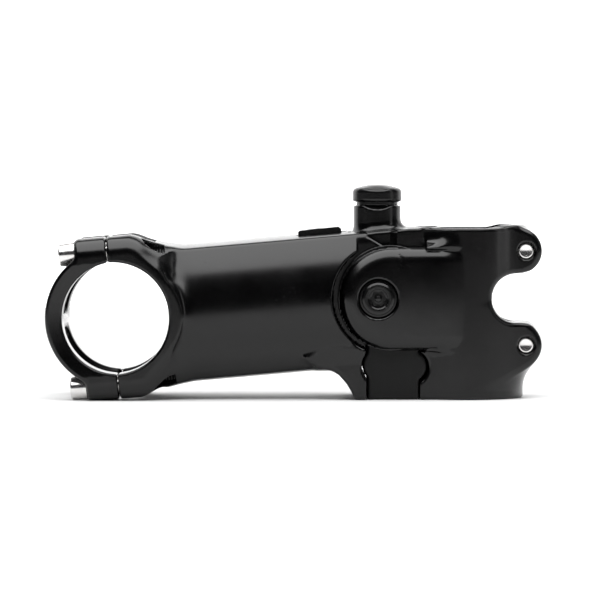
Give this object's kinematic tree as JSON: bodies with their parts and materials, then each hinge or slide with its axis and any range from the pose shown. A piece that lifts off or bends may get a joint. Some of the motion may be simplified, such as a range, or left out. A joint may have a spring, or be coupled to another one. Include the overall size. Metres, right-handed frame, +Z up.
{
  "type": "handlebar stem",
  "caption": "Suspension handlebar stem: a hinged arm with a handlebar clamp bears on an elastomer block at the steerer clamp, with a damping dial.",
  "frame": {"origin": "steerer axis at the bottom face of the steerer clamp", "axes": "+Z up along the steerer, -X forward towards the handlebar, Y across the stem along the handlebar"},
  "size_m": [0.1423, 0.044, 0.0614],
  "materials": {
    "black_paint": "gloss black coating over forged aluminium",
    "dial_black": "black anodised, turned",
    "bolt_steel": "silver plated",
    "black_steel": "black oxide",
    "plain_steel": "ground",
    "bronze": "sintered",
    "elastomer": "matt moulded",
    "seal_rubber": "smooth rubber",
    "bearing_plastic": "smooth",
    "lining": "friction lining"
  },
  "bodies": {
    "steerer_side": {"clamp_body": "black_paint", "pinch_bolts": "bolt_steel", "pivot_axle": "plain_steel", "pivot_bolt_left": "black_steel", "pivot_bolt_right": "black_steel", "pivot_washers": "black_steel", "elastomer_block": "elastomer", "rebound_bumper": "elastomer", "dial_bushing": "bronze", "spindle_circlip": "plain_steel", "dial_seal": "seal_rubber"},
    "arm": {"stem_arm": "black_paint", "faceplate": "black_paint", "faceplate_bolts": "bolt_steel", "pivot_bushing_left": "bronze", "pivot_bushing_right": "bronze", "thrust_washers": "bearing_plastic", "pivot_seals": "seal_rubber", "friction_ring": "plain_steel", "rebound_plate": "black_paint", "rebound_plate_screws": "black_steel"},
    "dial": {"dial_cap": "dial_black", "dial_spindle": "plain_steel", "dial_screw": "black_steel"},
    "brake": {"brake_shoe": "plain_steel", "brake_lining": "lining"}
  },
  "joints": [
    {"name": "arm_pivot", "type": "hinge", "parent": "steerer_side", "child": "arm", "pos_m": [-0.025, 0, 0.0289], "axis": [0, -1, 0], "range_deg": [0, 10], "stiffness_Nm_per_rad": 30, "springref_deg": -0.46, "deforming": ["elastomer_block"]},
    {"name": "dial_turn", "type": "hinge", "parent": "steerer_side", "child": "dial", "pos_m": [-0.025, 0, 0.055], "axis": [0, 0, 1], "range_deg": [0, 216]},
    {"name": "shoe_slide", "type": "slide", "parent": "steerer_side", "child": "brake", "axis": [0, 0, -1], "range_m": [0, 0.0006]}
  ],
  "couplings": [
    {"joint": "shoe_slide", "follows": "dial_turn", "m_per_rad": 0.00015915}
  ]
}
